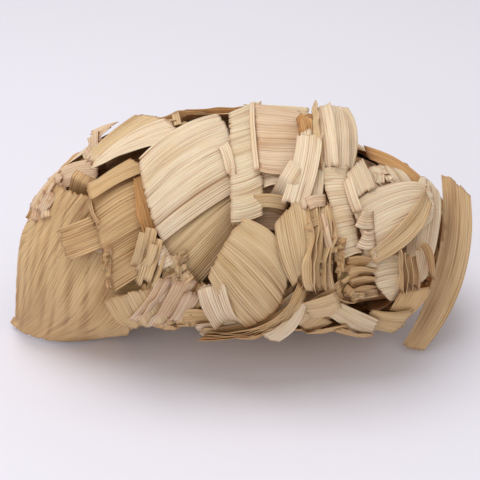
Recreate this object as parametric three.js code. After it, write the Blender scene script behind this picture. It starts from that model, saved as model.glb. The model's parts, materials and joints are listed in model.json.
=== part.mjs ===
// A bundle of dried corn husks lying on its side: about sixty separate husks, each a thin sheet
// laid round a flattened drum, the inner ones first and every later one over those below it.
// Millimetres, +X along the bundle, +Y to its back, +Z up.
import * as THREE from "three";

// Driving dimensions of the drum that the husks lie round.
const HALF_LENGTH = 180; // middle to end
const RADIUS = 94; // middle line to the front at the middle of the bundle
const FLATNESS = 0.875; // height over depth, because the bundle sags under its own weight
const END_TAPER = 0.62; // how much of the radius is lost at each end
const END_POWER = 3.5; // how late the ends start to narrow
const UNDERSIDE = 9; // height of the drum's lowest line over the surface it lies on

// Driving dimensions of a husk.
const SHEET = 0.9; // thickness of one husk with its ripples
const GAP = 0.9; // least air between two husks
const CELL_LENGTH = 17; // facet length along the fibres
const CELL_WIDTH = 14; // facet width across them
const STIFF_PASSES = 4; // how often a husk is eased towards an even curve

// How finely the pile's height is kept, along the bundle and round it.
const REACH = 220;
const STEP_ALONG = 2;
const STEP_ROUND = 1;
const SAMPLE = 1.1;

const DEGREE = Math.PI / 180;
const MM_PER_DEGREE = RADIUS * DEGREE;
const AXIS_UP = new THREE.Vector3(0, 0, 1);

// Colours of the husks, from the freshest cream to the brown of a shaded fold.
const CREAM = 0xe4d0ac;
const PALE = 0xe9dabb;
const STRAW = 0xd8c193;
const TAN = 0xc5a674;
const OLIVE = 0xb39a66;
const PINKISH = 0xd6b896;
const BROWN = 0x9a6632;

function drumRadius(along) {
  const lost = END_TAPER * Math.abs(along / HALF_LENGTH) ** END_POWER;
  return RADIUS * Math.max(1 - lost, 0.1);
}

// A point given by its place along the bundle, degrees round it from the crest (the front is
// negative) and height over the drum.
function place(along, round, height) {
  const drum = drumRadius(along);
  const reach = drum + height;
  const middle = UNDERSIDE + FLATNESS * drum;
  const y = reach * Math.sin(round * DEGREE);
  const z = middle + FLATNESS * reach * Math.cos(round * DEGREE);
  return new THREE.Vector3(along, y, z);
}

// The reverse of place.
function locate(point) {
  const drum = drumRadius(point.x);
  const up = (point.z - UNDERSIDE) / FLATNESS - drum;
  const round = Math.atan2(point.y, up) / DEGREE;
  return { along: point.x, round, height: Math.hypot(point.y, up) - drum };
}

// The pile: how high the husks laid so far stand over the drum, all round it.
const columns = Math.ceil((2 * REACH) / STEP_ALONG);
const rows = 360 / STEP_ROUND;
const pile = new Float32Array(columns * rows).fill(-1000);

function pileIndex(column, row) {
  const turned = ((row % rows) + rows) % rows;
  return column * rows + turned;
}

function pileHeight({ along, round }) {
  const column = Math.round((along + REACH) / STEP_ALONG);
  const row = Math.round(round / STEP_ROUND);
  let highest = -1000;
  for (let i = column - 1; i <= column + 1; i += 1) {
    for (let j = row - 1; j <= row + 1; j += 1) {
      highest = Math.max(highest, pile[pileIndex(i, j)]);
    }
  }
  return highest;
}

function raisePile({ along, round, height }) {
  const column = Math.round((along + REACH) / STEP_ALONG);
  const index = pileIndex(column, Math.round(round / STEP_ROUND));
  pile[index] = Math.max(pile[index], height);
}

// Points spread over a triangle, with the weights of its three corners.
function sampleTriangle(a, b, c, visit) {
  const longest = Math.max(a.distanceTo(b), b.distanceTo(c), c.distanceTo(a));
  const steps = Math.ceil(longest / SAMPLE);
  const point = new THREE.Vector3();
  for (let i = 0; i <= steps; i += 1) {
    for (let j = 0; j <= steps - i; j += 1) {
      const s = i / steps;
      const t = j / steps;
      point.copy(a).multiplyScalar(1 - s - t).addScaledVector(b, s).addScaledVector(c, t);
      visit(locate(point));
    }
  }
}

// The corner triples of one side of a sheet. The first cell is split the other way, so that the
// sheet has one corner that no other is like, and the start of its fibres can be told.
function sheetTriangles(along, across) {
  const at = (i, j) => i * (across + 1) + j;
  const triples = [];
  for (let i = 0; i < along; i += 1) {
    for (let j = 0; j < across; j += 1) {
      const [a, b, c, d] = [at(i, j), at(i + 1, j), at(i + 1, j + 1), at(i, j + 1)];
      if (i + j === 0) {
        triples.push([a, b, d], [b, c, d]);
      } else {
        triples.push([a, b, c], [a, c, d]);
      }
    }
  }
  return triples;
}

// The corners round a sheet's edge, anticlockwise from outside.
function sheetEdge(along, across) {
  const at = (i, j) => i * (across + 1) + j;
  const loop = [];
  for (let i = 0; i < along; i += 1) loop.push(at(i, 0));
  for (let j = 0; j < across; j += 1) loop.push(at(along, j));
  for (let i = along; i > 0; i -= 1) loop.push(at(i, across));
  for (let j = across; j > 0; j -= 1) loop.push(at(0, j));
  return loop;
}

// An odd number of facets along the fibres and an even number across them.
function facetCounts(length, width) {
  const along = 2 * Math.round((length / CELL_LENGTH - 1) / 2) + 1;
  const across = 2 * Math.round(width / CELL_WIDTH / 2);
  return [Math.min(Math.max(along, 3), 7), Math.min(Math.max(across, 4), 10)];
}

// A four-cornered sheet with bowed sides: corners are start low, end low, end high, start high,
// and bows are how far the high, end, low and start sides swell out, in millimetres.
function patchPoint(corners, bows, outward, u, v) {
  const [startLow, endLow, endHigh, startHigh] = corners;
  const low = startLow.clone().lerp(endLow, u);
  const high = startHigh.clone().lerp(endHigh, u);
  const point = low.lerp(high, v);
  const sides = [
    [endHigh, startHigh, bows[0] * 4 * u * (1 - u) * v],
    [endLow, endHigh, bows[1] * 4 * v * (1 - v) * u],
    [startLow, endLow, bows[2] * 4 * u * (1 - u) * (1 - v)],
    [startHigh, startLow, bows[3] * 4 * v * (1 - v) * (1 - u)],
  ];
  for (const [from, to, swell] of sides) {
    const away = to.clone().sub(from).cross(outward).normalize();
    point.addScaledVector(away, swell);
  }
  return point;
}

function gridOf(along, across, pointAt) {
  const points = [];
  for (let i = 0; i <= along; i += 1) {
    for (let j = 0; j <= across; j += 1) {
      points.push(pointAt(i / along, j / across));
    }
  }
  return points;
}

// Unit normals of a grid of points, from its neighbours along and across.
function gridNormals(points, along, across) {
  const at = (i, j) => {
    const row = Math.min(Math.max(i, 0), along);
    const column = Math.min(Math.max(j, 0), across);
    return points[row * (across + 1) + column];
  };
  const normals = [];
  for (let i = 0; i <= along; i += 1) {
    for (let j = 0; j <= across; j += 1) {
      const lengthwise = at(i + 1, j).clone().sub(at(i - 1, j));
      const crosswise = at(i, j + 1).clone().sub(at(i, j - 1));
      normals.push(lengthwise.cross(crosswise).normalize());
    }
  }
  return normals;
}

// Lifts a sheet's facets until every point of it clears the pile, and eases it to an even curve.
function drape(spots, along, across) {
  const triples = sheetTriangles(along, across);
  const stand = () => spots.map((spot) => place(spot.along, spot.round, spot.height));
  const clearPile = () => {
    for (let round = 0; round < 40; round += 1) {
      const points = stand();
      const lack = new Float32Array(spots.length);
      for (const triple of triples) {
        const [a, b, c] = triple.map((index) => points[index]);
        let worst = 0;
        sampleTriangle(a, b, c, (spot) => {
          worst = Math.max(worst, pileHeight(spot) + GAP - spot.height);
        });
        for (const index of triple) lack[index] = Math.max(lack[index], worst);
      }
      if (Math.max(...lack) < 0.01) return;
      spots.forEach((spot, index) => { spot.height += 0.7 * lack[index] + 0.02 * Math.sign(lack[index]); });
    }
  };
  const ease = () => {
    const before = spots.map((spot) => spot.height);
    const at = (i, j) => before[i * (across + 1) + j];
    for (let i = 0; i <= along; i += 1) {
      for (let j = 0; j <= across; j += 1) {
        const near = [at(i, j)];
        if (i > 0 && i < along) near.push(at(i - 1, j), at(i + 1, j));
        if (j > 0 && j < across) near.push(at(i, j - 1), at(i, j + 1));
        const total = near.reduce((sum, height) => sum + height, 0);
        spots[i * (across + 1) + j].height = total / near.length;
      }
    }
  };
  clearPile();
  for (let pass = 0; pass < STIFF_PASSES; pass += 1) {
    ease();
    clearPile();
  }
  return stand();
}

// A closed sheet: an inner face, an outer face one thickness outside it, and a rim.
function sheetGeometry(inner, along, across) {
  const normals = gridNormals(inner, along, across);
  const outer = inner.map((point, index) => point.clone().addScaledVector(normals[index], SHEET));
  const count = inner.length;
  const indices = [];
  for (const [a, b, c] of sheetTriangles(along, across)) {
    indices.push(count + a, count + b, count + c);
    indices.push(a, c, b);
  }
  const loop = sheetEdge(along, across);
  loop.forEach((a, index) => {
    const b = loop[(index + 1) % loop.length];
    indices.push(a, b, count + b, a, count + b, count + a);
  });
  const geometry = new THREE.BufferGeometry();
  geometry.setFromPoints([...inner, ...outer]);
  geometry.setIndex(indices);
  return { geometry, outer };
}

const bundle = new THREE.Group();

function addSheet(name, inner, along, across, colour) {
  const { geometry, outer } = sheetGeometry(inner, along, across);
  for (const [a, b, c] of sheetTriangles(along, across)) {
    sampleTriangle(outer[a], outer[b], outer[c], raisePile);
  }
  const husk = new THREE.MeshStandardMaterial({
    color: colour,
    roughness: 0.8,
    metalness: 0,
  });
  const mesh = new THREE.Mesh(geometry, husk);
  mesh.name = name;
  bundle.add(mesh);
}

// A husk laid round the drum. Its fibres run from the middle of its start cut to the middle of
// its end cut, each given as [mm along, degrees round]. widths and cuts are the length and the
// direction of the two cut ends, unrolled flat: 0 along the bundle, 90 up over its crest. lifts
// are the heights that its four corners are held at: start low, end low, end high, start high.
function wrapHusk(name, from, to, widths, cuts, lifts, colour, { crown = 0, bows = [0, 0, 0, 0] } = {}) {
  const corner = (middle, width, cut, side) => {
    const offset = (side * width) / 2;
    const across = middle[1] * MM_PER_DEGREE + offset * Math.sin(cut * DEGREE);
    return new THREE.Vector3(middle[0] + offset * Math.cos(cut * DEGREE), across, 0);
  };
  const corners = [
    corner(from, widths[0], cuts[0], -1),
    corner(to, widths[1], cuts[1], -1),
    corner(to, widths[1], cuts[1], 1),
    corner(from, widths[0], cuts[0], 1),
  ];
  const length = (corners[0].distanceTo(corners[1]) + corners[2].distanceTo(corners[3])) / 2;
  const [along, across] = facetCounts(length, Math.max(...widths));
  const spots = gridOf(along, across, (u, v) => {
    const flat = patchPoint(corners, bows, AXIS_UP, u, v);
    const low = lifts[0] + (lifts[1] - lifts[0]) * u;
    const high = lifts[3] + (lifts[2] - lifts[3]) * u;
    const swell = crown * 16 * u * (1 - u) * v * (1 - v);
    return { along: flat.x, round: flat.y / MM_PER_DEGREE, height: low + (high - low) * v + swell };
  });
  addSheet(name, drape(spots, along, across), along, across, colour);
}

// A husk that hangs down to the surface, given by its four corners in millimetres, in the same
// order. arch is how far it is rounded outwards across its fibres. One that stands clear of the
// end of the drum keeps the plain shape, and one that leans on it is laid over the pile.
function hangHusk(name, corners, colour, arch, bows, leans) {
  const points = corners.map((corner) => new THREE.Vector3(...corner));
  const lengthwise = points[1].clone().add(points[2]).sub(points[0]).sub(points[3]);
  const crosswise = points[2].clone().add(points[3]).sub(points[0]).sub(points[1]);
  const outward = lengthwise.clone().cross(crosswise).normalize();
  const [along, across] = facetCounts(lengthwise.length() / 2, crosswise.length() / 2);
  const inner = gridOf(along, across, (u, v) => {
    const point = patchPoint(points, bows, outward, u, v);
    return point.addScaledVector(outward, arch * 4 * v * (1 - v));
  });
  const laid = leans ? drape(inner.map(locate), along, across) : inner;
  addSheet(name, laid, along, across, colour);
}

// The husk that the bundle lies on, pressed flat against the surface.
const FLOOR_HUSK_LENGTH = 120;
const FLOOR_HUSK_WIDTH = 60;
const FLOOR_HUSK_MIDDLE = [16, 20];
function layFloorHusk() {
  const counts = facetCounts(FLOOR_HUSK_LENGTH, FLOOR_HUSK_WIDTH);
  const inner = gridOf(...counts, (u, v) => {
    const width = FLOOR_HUSK_WIDTH * (1 - 0.16 * u);
    const along = FLOOR_HUSK_MIDDLE[0] + (u - 0.5) * FLOOR_HUSK_LENGTH;
    return new THREE.Vector3(along, FLOOR_HUSK_MIDDLE[1] + (0.5 - v) * width, SHEET);
  });
  addSheet("floor_husk", inner, ...counts, TAN);
}

// Rolled husks inside, which show at the two open ends.
wrapHusk("core_roll", [-105, -75], [110, -80], [250, 250], [90, 90], [-80, -80, -74, -74], TAN);
wrapHusk("left_roll", [-134, -35], [-15, -30], [400, 390], [90, 90], [-38, -52, -46, -30], STRAW);
wrapHusk("right_roll", [8, 60], [142, 55], [400, 400], [90, 90], [-50, -36, -30, -44], PINKISH);

// The layer under the outer husks.
wrapHusk("under_left_front", [-134, -55], [-45, -52], [240, 250], [92, 90], [-24, -22, -20, -22], TAN);
wrapHusk("under_middle_front", [-62, -55], [58, -52], [275, 270], [88, 90], [-26, -24, -24, -26], OLIVE);
wrapHusk("under_right_front", [44, -50], [140, -50], [265, 235], [90, 88], [-24, -26, -26, -24], TAN);
wrapHusk("under_left_back", [-142, 100], [8, 100], [250, 270], [90, 92], [-20, -20, -22, -20], STRAW);
wrapHusk("under_right_back", [-6, 103], [140, 100], [270, 245], [90, 90], [-28, -30, -20, -16], PINKISH);

// The belly, which the bundle's weight flattens.
wrapHusk("left_belly_husk", [-128, -172], [6, -176], [150, 165], [90, 90], [-8, -8, -8, -8], STRAW);
wrapHusk("right_belly_husk", [-10, -178], [128, -174], [165, 150], [90, 90], [-4, -4, -4, -4], TAN);

// The back, from the left end to the right.
wrapHusk("back_low_left", [-150, 122], [-38, 108], [120, 150], [100, 96], [-8, -6, -4, -6], TAN);
wrapHusk("back_low_right", [20, 112], [146, 124], [150, 115], [84, 80], [-6, -8, -4, -2], STRAW);
wrapHusk("back_left_husk", [-152, 55], [-50, 42], [100, 125], [100, 88], [-2, -2, -4, -2], CREAM,
  { bows: [4, 3, 6, 5] });
wrapHusk("back_right_husk", [58, 46], [148, 66], [115, 95], [96, 74], [-24, -16, -4, -4], CREAM,
  { bows: [4, 6, 4, 2] });
wrapHusk("back_middle_husk", [-56, 74], [66, 70], [135, 150], [104, 84], [2, 2, 0, 0], STRAW,
  { crown: 3, bows: [5, 4, 8, 4] });

// The left end, where broad husks hang down to the surface.
wrapHusk("left_shoulder", [-146, 3], [-105, -16], [40, 30], [105, 90], [-4, -8, -4, 5], PINKISH);
wrapHusk("left_frill", [-160, -12], [-132, -12], [62, 62], [98, 102], [-4, -8, -6, 5], PINKISH);
wrapHusk("yellow_spear", [-111, -8], [-64, 16], [25, 40], [110, 145], [-6, 2, 8, 0], STRAW);
wrapHusk("pale_spear", [-110, -16], [-48, 0], [8, 36], [90, 115], [3, 2, 4, 3], CREAM,
  { bows: [4, 0, 0, 0] });
wrapHusk("top_left_scrap", [-116, 22], [-97, 16], [25, 22], [100, 70], [0, 2, 6, 10], PINKISH);
hangHusk("left_apron", [[-98, -20, 4], [-72, -62, 142], [-140, -8, 132], [-186, -10, 4]],
  TAN, 22, [4, 18, 4, 0], true);
wrapHusk("left_tab", [-131, -53], [-98, -59], [10, 26], [90, 90], [5, -1, -1, 4], PINKISH);
wrapHusk("left_panel_low", [-100, -63], [-64, -50], [84, 92], [102, 92], [2, -6, -6, 2], TAN);
wrapHusk("left_panel_top", [-109, -35], [-73, -23], [22, 20], [100, 130], [4, 0, 2, 4], TAN);
wrapHusk("curled_edge", [-62, -60], [-71, -31], [15, 14], [195, 210], [-2, -3, 0, -1], BROWN,
  { crown: 5 });

// The middle left.
wrapHusk("fan_husk", [-61, -88], [-3, -46], [90, 43], [82, 95], [0, -10, -8, 1], STRAW,
  { crown: 3, bows: [3, 0, 4, 4] });
wrapHusk("centre_husk", [-65, -44], [-9, -10], [66, 90], [105, 100], [2, -7, 4, 4], CREAM,
  { crown: 5, bows: [1, 4, 0, 2] });
wrapHusk("low_apron", [-62, -114], [-35, -79], [32, 32], [138, 138], [2, 0, 2, 2], TAN,
  { bows: [0, 0, 4, 2] });
wrapHusk("low_band", [-80, -88], [-67, -111], [38, 31], [17, 19], [5, 4, 3, 4], STRAW,
  { bows: [3, 0, 2, 2] });

// The crest.
wrapHusk("crown_back", [2, 14], [54, 15], [44, 44], [90, 90], [-10, -10, 8, 10], PALE);
wrapHusk("crown_left", [-8, -20], [17, -12], [112, 126], [91, 90], [2, -1, 6, 5], PALE,
  { bows: [0, 0, 2, 0] });
wrapHusk("crown_front", [11, -8], [44, -5], [74, 80], [93, 87], [6, 0, 5, 8], PINKISH,
  { crown: 3, bows: [0, 7, 2, 0] });

// The middle, with the barrel-shaped husk and the strips that sweep under it.
wrapHusk("barrel_tuck", [-22, -84], [-9, -108], [14, 23], [12, -3], [0, 0, 0, 0], PALE,
  { bows: [0, 2, 4, 0] });
wrapHusk("base_wrap_upper", [-30, -122], [40, -91], [38, 20], [98, 100], [-4, -6, 0, 2], STRAW,
  { bows: [-8, 0, 8, 0] });
wrapHusk("base_wrap_middle", [-31, -118], [43, -93], [32, 20], [102, 108], [2, -2, 4, 6], CREAM,
  { bows: [-8, 0, 8, 0] });
wrapHusk("base_wrap_lower", [-27, -117], [40, -100], [22, 22], [103, 108], [6, 2, 6, 8], STRAW,
  { bows: [-6, 0, 6, 0] });
wrapHusk("barrel_husk", [-11, -65], [20, -91], [50, 63], [60, 63], [7, 2, 2, 8], STRAW,
  { crown: 7, bows: [8, 10, 2, 2] });

// Right of the middle: narrow upright husks with stacked edges.
wrapHusk("neck_shade", [43, -3], [61, 8], [25, 42], [95, 90], [-14, -14, 0, -8], BROWN);
wrapHusk("stack_olive", [48, -56], [63, -54], [27, 28], [103, 96], [4, 0, 2, 5], OLIVE);
wrapHusk("stack_low", [50, -74], [66, -71], [43, 43], [98, 91], [0, -4, 0, 4], PINKISH);
wrapHusk("neck_husk", [40, -41], [51, -10], [28, 12], [141, 172], [5, -4, -6, 6], CREAM,
  { bows: [-3, 0, -2, 0] });
wrapHusk("slant_husk", [43, -79], [35, -47], [21, 33], [245, 229], [3, 6, 8, 5], STRAW,
  { crown: 3, bows: [3, 0, 3, 0] });
wrapHusk("olive_shade", [69, -80], [91, -79], [34, 43], [93, 92], [-6, -8, -6, -4], OLIVE);
wrapHusk("tall_husk", [69, -28], [70, 14], [27, 35], [197, 220], [3, 15, 15, 6], CREAM,
  { crown: 4, bows: [0, 5, 5, 0] });
wrapHusk("banded_husk", [61, -50], [83, -46], [68, 65], [99, 98], [4, 2, 7, 9], CREAM,
  { crown: 3, bows: [0, -1, 0, -3] });

// The right end.
wrapHusk("end_arch", [96, 10], [146, -26], [24, 34], [96, 62], [-18, 4, 6, -12], BROWN,
  { crown: 1, bows: [16, 0, -14, 0] });
wrapHusk("flap_back", [113, -28], [106, -13], [47, 46], [226, 225], [-6, -8, -2, -4], CREAM,
  { crown: 2, bows: [0, 3, 3, 0] });
wrapHusk("end_wrap", [128, -85], [145, 4], [28, 24], [230, 231], [-2, 0, -2, -4], CREAM,
  { crown: 2, bows: [4, 2, 4, 0] });
wrapHusk("cone_husk", [101, -81], [119, -78], [42, 48], [114, 85], [3, 1, 3, 5], PALE,
  { crown: 4, bows: [2, 0, 0, 4] });
wrapHusk("right_fan", [87, -56], [143, -25], [42, 38], [111, 88], [5, 0, 0, 6], CREAM,
  { crown: 3, bows: [2, 2, 5, 2] });
wrapHusk("right_curl", [93, -68], [139, -24], [10, 17], [120, 100], [8, 6, 8, 10], STRAW,
  { crown: 1, bows: [-7, 0, 9, 0] });
wrapHusk("flap_front", [91, -38], [83, -24], [18, 24], [218, 237], [5, 5, 8, 8], CREAM);
hangHusk("slender_husk", [[143, -46, 3], [175, -4, 120], [155, 6, 134], [129, -40, 3]],
  STRAW, 3, [-12, 3, 15, 0], false);

// The lower edge on the right.
wrapHusk("low_flap", [117, -101], [130, -82], [18, 29], [146, 200], [5, 2, 3, 6], TAN,
  { bows: [0, 0, 2, 0] });
wrapHusk("mid_base", [53, -102], [75, -88], [25, 32], [127, 101], [3, -4, -3, 3], TAN);
wrapHusk("mid_base_low", [45, -112], [58, -101], [26, 29], [118, 136], [4, 2, 3, 4], STRAW);
wrapHusk("right_base", [92, -102], [122, -108], [14, 44], [58, 72], [8, 5, 2, 4], OLIVE);
wrapHusk("pale_base", [61, -93], [100, -112], [14, 34], [73, 83], [8, 8, 7, 7], PALE);
wrapHusk("tongue", [22, -116], [45, -90], [22, 10], [124, 131], [10, 5, 5, 10], CREAM,
  { bows: [-2, 0, 3, 4] });

layFloorHusk();

// The origin goes to the middle of the bundle's box, on the surface that it lies on.
const box = new THREE.Box3().setFromObject(bundle);
const middle = box.getCenter(new THREE.Vector3());
for (const husk of bundle.children) {
  husk.geometry.translate(-middle.x, -middle.y, 0);
}

export default bundle;
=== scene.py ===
# A bundle of dried corn husks lying on its side on a pale floor. It follows the bundle as it is
# put together: the rolls inside, the husks laid round them, the broad and narrow husks that
# show, and the torn strips and silk between them. Lengths are millimetres until a mesh is made.
import json

import bpy
import numpy as np
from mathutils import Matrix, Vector


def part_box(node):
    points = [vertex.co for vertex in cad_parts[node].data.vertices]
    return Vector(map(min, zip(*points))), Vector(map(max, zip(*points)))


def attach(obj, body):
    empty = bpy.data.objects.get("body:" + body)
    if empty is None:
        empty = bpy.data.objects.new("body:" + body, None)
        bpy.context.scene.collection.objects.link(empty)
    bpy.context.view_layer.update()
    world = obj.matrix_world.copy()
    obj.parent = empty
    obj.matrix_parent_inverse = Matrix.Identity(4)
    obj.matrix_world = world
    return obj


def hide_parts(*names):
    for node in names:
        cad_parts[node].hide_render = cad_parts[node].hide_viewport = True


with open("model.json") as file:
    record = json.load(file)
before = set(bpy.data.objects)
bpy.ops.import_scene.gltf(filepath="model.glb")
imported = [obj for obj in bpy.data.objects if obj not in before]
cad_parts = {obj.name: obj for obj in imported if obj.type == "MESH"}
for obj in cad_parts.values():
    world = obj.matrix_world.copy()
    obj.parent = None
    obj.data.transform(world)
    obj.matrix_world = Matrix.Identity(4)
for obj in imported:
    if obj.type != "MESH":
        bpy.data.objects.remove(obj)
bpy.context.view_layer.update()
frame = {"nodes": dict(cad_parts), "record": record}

# ---- The rolled husks inside ---------------------------------------------------------------
# Whole corn husks rolled lengthways and packed together; only their ends show, at the two open
# ends of the bundle. They are dried leaf, 0.35 mm thick, ribbed along their length.

MM = 0.001  # one millimetre in metres
CAD_SHEET = 0.9  # thickness of a husk's plain CAD sheet
LEAF = 0.35  # thickness of a dried husk

# The drum that every husk lies round, as in the CAD, and its place in the part's frame.
HALF_LENGTH = 180
RADIUS = 94
FLATNESS = 0.875
END_TAPER = 0.62
END_POWER = 3.5
UNDERSIDE = 9
FLOOR_HUSK_PLACE = (16, 20, 0)  # the middle of the lowest husk, from the middle of the drum
MM_PER_DEGREE = np.radians(1) * RADIUS
floor_low, floor_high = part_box("floor_husk")
SHIFT = np.array((floor_low + floor_high) / 2 / MM) - FLOOR_HUSK_PLACE
SHIFT[2] = 0


def drum_radius(along):
    """The drum's radius, which falls off towards its two ends as a power of the distance."""
    lost = END_TAPER * np.abs(along / HALF_LENGTH) ** END_POWER
    return RADIUS * np.maximum(1 - lost, 0.1)


def place(along, turn, height):
    """Points at a place along the drum, degrees round it from the crest and height over it. The
    radius plus the height, times the turn's sine, is y; times its cosine, then flattened, is z."""
    drum = drum_radius(along)
    reach = drum + height
    y = reach * np.sin(np.radians(turn))
    z = UNDERSIDE + FLATNESS * (drum + reach * np.cos(np.radians(turn)))
    return np.stack([along, y, z], axis=-1) + SHIFT


def locate(points):
    """The reverse of place: the turn is the angle whose tangent is y over z, and the height is
    the distance from the drum's axis less its radius."""
    along, y, z = np.moveaxis(points - SHIFT, -1, 0)
    drum = drum_radius(along)
    up = (z - UNDERSIDE) / FLATNESS - drum
    return along, np.degrees(np.arctan2(y, up)), np.hypot(y, up) - drum


def spline(knots, at):
    """Weights that turn values at 0, 1, 2 ... into values at the places in at. They follow the
    natural cubic spline: straight lines plus the cubic terms of each knot's second derivative."""
    inner = np.arange(1, knots - 1)
    left, right = np.eye(knots), np.zeros((knots, knots))
    left[inner, inner], left[inner, inner - 1], left[inner, inner + 1] = 4, 1, 1
    right[inner, inner], right[inner, inner - 1], right[inner, inner + 1] = -12, 6, 6
    bend = np.linalg.solve(left, right)
    cell = np.clip(np.floor(at).astype(int), 0, knots - 2)
    t = (at - cell)[:, None]
    flat = (1 - t) * np.eye(knots)[cell] + t * np.eye(knots)[cell + 1]
    return flat + ((1 - t) ** 3 - (1 - t)) / 6 * bend[cell] + (t**3 - t) / 6 * bend[cell + 1]


def wander(rng, u, v, cells_u, cells_v):
    """Smooth random heights of about -1 to 1: a spline surface through a grid of random ones."""
    cells_u, cells_v = max(int(cells_u), 1), max(int(cells_v), 1)
    rough = rng.uniform(-1, 1, (cells_u + 1, cells_v + 1))
    return spline(cells_u + 1, u * cells_u) @ rough @ spline(cells_v + 1, v * cells_v).T


def step(value, start, end):
    """A smooth rise from 0 at start to 1 at end: three squares less two cubes of the share."""
    t = np.clip((value - start) / (end - start), 0, 1)
    return t * t * (3 - 2 * t)


def outline(triangles, size):
    """The corners round the edge of a sheet of triangles, anticlockwise, from its odd corner:
    an edge belongs to the outline where no triangle has it the other way round."""
    has = np.zeros((size, size), bool)
    has[triangles, np.roll(triangles, -1, axis=1)] = True
    start, end = np.nonzero(has & ~has.T)
    follows = dict(zip(start.tolist(), end.tolist()))
    uses = np.bincount(triangles.ravel(), minlength=size)
    walk = [next(corner for corner in follows if uses[corner] == 2)]
    while follows[walk[-1]] != walk[0]:
        walk.append(follows[walk[-1]])
    turns = [count for count, corner in enumerate(walk) if uses[corner] == 1]
    return walk, turns, has | has.T


def facet_grid(node):
    """The corners of a CAD husk's outer face as an array: along the fibres, across them, xyz.
    The rim is dropped, the sheet whose first side has an odd number of facets is the outer one,
    and inner corners get their row and column as the mean of their neighbours'."""
    mesh = frame["nodes"][node].data
    spots = np.empty(3 * len(mesh.vertices))
    mesh.vertices.foreach_get("co", spots)
    mesh.calc_loop_triangles()
    corners = np.empty(3 * len(mesh.loop_triangles), int)
    mesh.loop_triangles.foreach_get("vertices", corners)
    spots = spots.reshape(-1, 3) / MM
    keys = np.round(spots * 100).astype(int)
    _, first, same = np.unique(keys, axis=0, return_index=True, return_inverse=True)
    points = spots[first]
    size = len(points)
    triangles = same.reshape(-1)[corners].reshape(-1, 3)
    sides = np.linalg.norm(points[triangles] - points[np.roll(triangles, -1, axis=1)], axis=2)
    triangles = triangles[(abs(sides - CAD_SHEET) > 0.02).all(axis=1)]
    group = np.arange(size)
    linked = np.eye(size, dtype=bool)
    linked[triangles, np.roll(triangles, -1, axis=1)] = True
    linked |= linked.T
    for _ in range(size):
        group = np.where(linked, group[None, :], size).min(axis=1)
    for label in np.unique(group[triangles[:, 0]]):
        sheet = triangles[group[triangles[:, 0]] == label]
        walk, turns, touch = outline(sheet, size)
        if turns[0] % 2 == 1:
            break
    # The walk goes from the far high corner back along the top, down the start, and round.
    along, across = turns[0], turns[1] - turns[0]
    down = np.arange(along, 0, -1)
    rows = np.concatenate([down, np.zeros(across), along - down, np.full(across, along)])
    fall = np.arange(across, 0, -1)
    columns = np.concatenate([np.full(along, across), fall, np.zeros(along), across - fall])
    spot = np.zeros((size, 2))
    spot[walk] = np.stack([rows, columns], axis=1)
    inside = np.setdiff1d(np.unique(sheet), walk)
    pull = np.diag(touch[inside].sum(axis=1).astype(float)) - touch[np.ix_(inside, inside)]
    spot[inside] = np.linalg.solve(pull, touch[np.ix_(inside, walk)] @ spot[walk])
    spot = np.round(spot).astype(int)
    grid = np.empty((along + 1, across + 1, 3))
    used = np.unique(sheet)
    grid[spot[used, 0], spot[used, 1]] = points[used]
    return grid


# How high the husks laid so far stand over the drum, on cells of 2.5 mm by 1.25 degrees.
CELL_ALONG = 2.5
CELL_TURN = 1.25
REACH = 225
EMPTY = -999.0
pile = np.full((int(2 * REACH / CELL_ALONG), int(360 / CELL_TURN)), EMPTY)


def pile_cell(along, turn):
    """The cell of the pile that a place is in: its distance over the cell's size, rounded down."""
    column = np.clip(((along + REACH) / CELL_ALONG).astype(int), 1, pile.shape[0] - 2)
    return column, np.floor(turn / CELL_TURN).astype(int) % pile.shape[1]


def pile_height(along, turn):
    """The highest husk at a place, looked for in its cell and the four beside it."""
    column, row = pile_cell(along, turn)
    sides = pile[column - 1, row], pile[column + 1, row]
    rounds = pile[column, row - 1], pile[column, (row + 1) % pile.shape[1]]
    return np.maximum.reduce([pile[column, row], *sides, *rounds])


def raise_pile(points):
    """Puts a laid husk into the pile: each cell keeps the highest of its points."""
    along, turn, height = locate(points)
    np.maximum.at(pile, pile_cell(along, turn), height + LEAF)


def normals_of(points):
    """Unit normals of a grid of points, lengthwise crossed with crosswise."""
    lengthwise = np.gradient(points, axis=-3)
    crosswise = np.gradient(points, axis=-2)
    normal = np.cross(lengthwise, crosswise)
    return normal / np.maximum(np.linalg.norm(normal, axis=-1, keepdims=True), 1e-9)


BLOCK = 7  # a husk bends over about this length
SETTLED_AIR = 0.15
MOST_LIFT = 6


def settle(points):
    """Lifts a husk off those below it. What each block of it lacks in height is spread over a
    spline surface through the blocks' corners, so that the husk stays a smooth, stiff sheet."""
    rows, columns = points.shape[:2]
    length = np.linalg.norm(np.diff(points[:, columns // 2], axis=0), axis=1).sum()
    width = np.linalg.norm(np.diff(points[rows // 2], axis=0), axis=1).sum()
    blocks = max(int(length / BLOCK), 2), max(int(width / BLOCK), 2)
    starts = [np.linspace(0, size, count + 1).astype(int)[:-1]
              for size, count in zip((rows, columns), blocks)]
    weights = [spline(count + 1, np.linspace(0, count, size))
               for size, count in zip((rows, columns), blocks)]
    for _ in range(2):
        along, turn, height = locate(points)
        lack = np.clip(pile_height(along, turn) + SETTLED_AIR - height, 0, MOST_LIFT)
        peaks = np.maximum.reduceat(np.maximum.reduceat(lack, starts[0], 0), starts[1], 1)
        padded = np.pad(peaks, 1, mode="edge")
        corner = np.maximum.reduce([padded[1:, 1:], padded[:-1, 1:], padded[1:, :-1],
                                    padded[:-1, :-1]])
        lift = np.clip(weights[0] @ corner @ weights[1].T, 0, MOST_LIFT)
        points = place(along, turn, height + lift)
    return points


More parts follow.
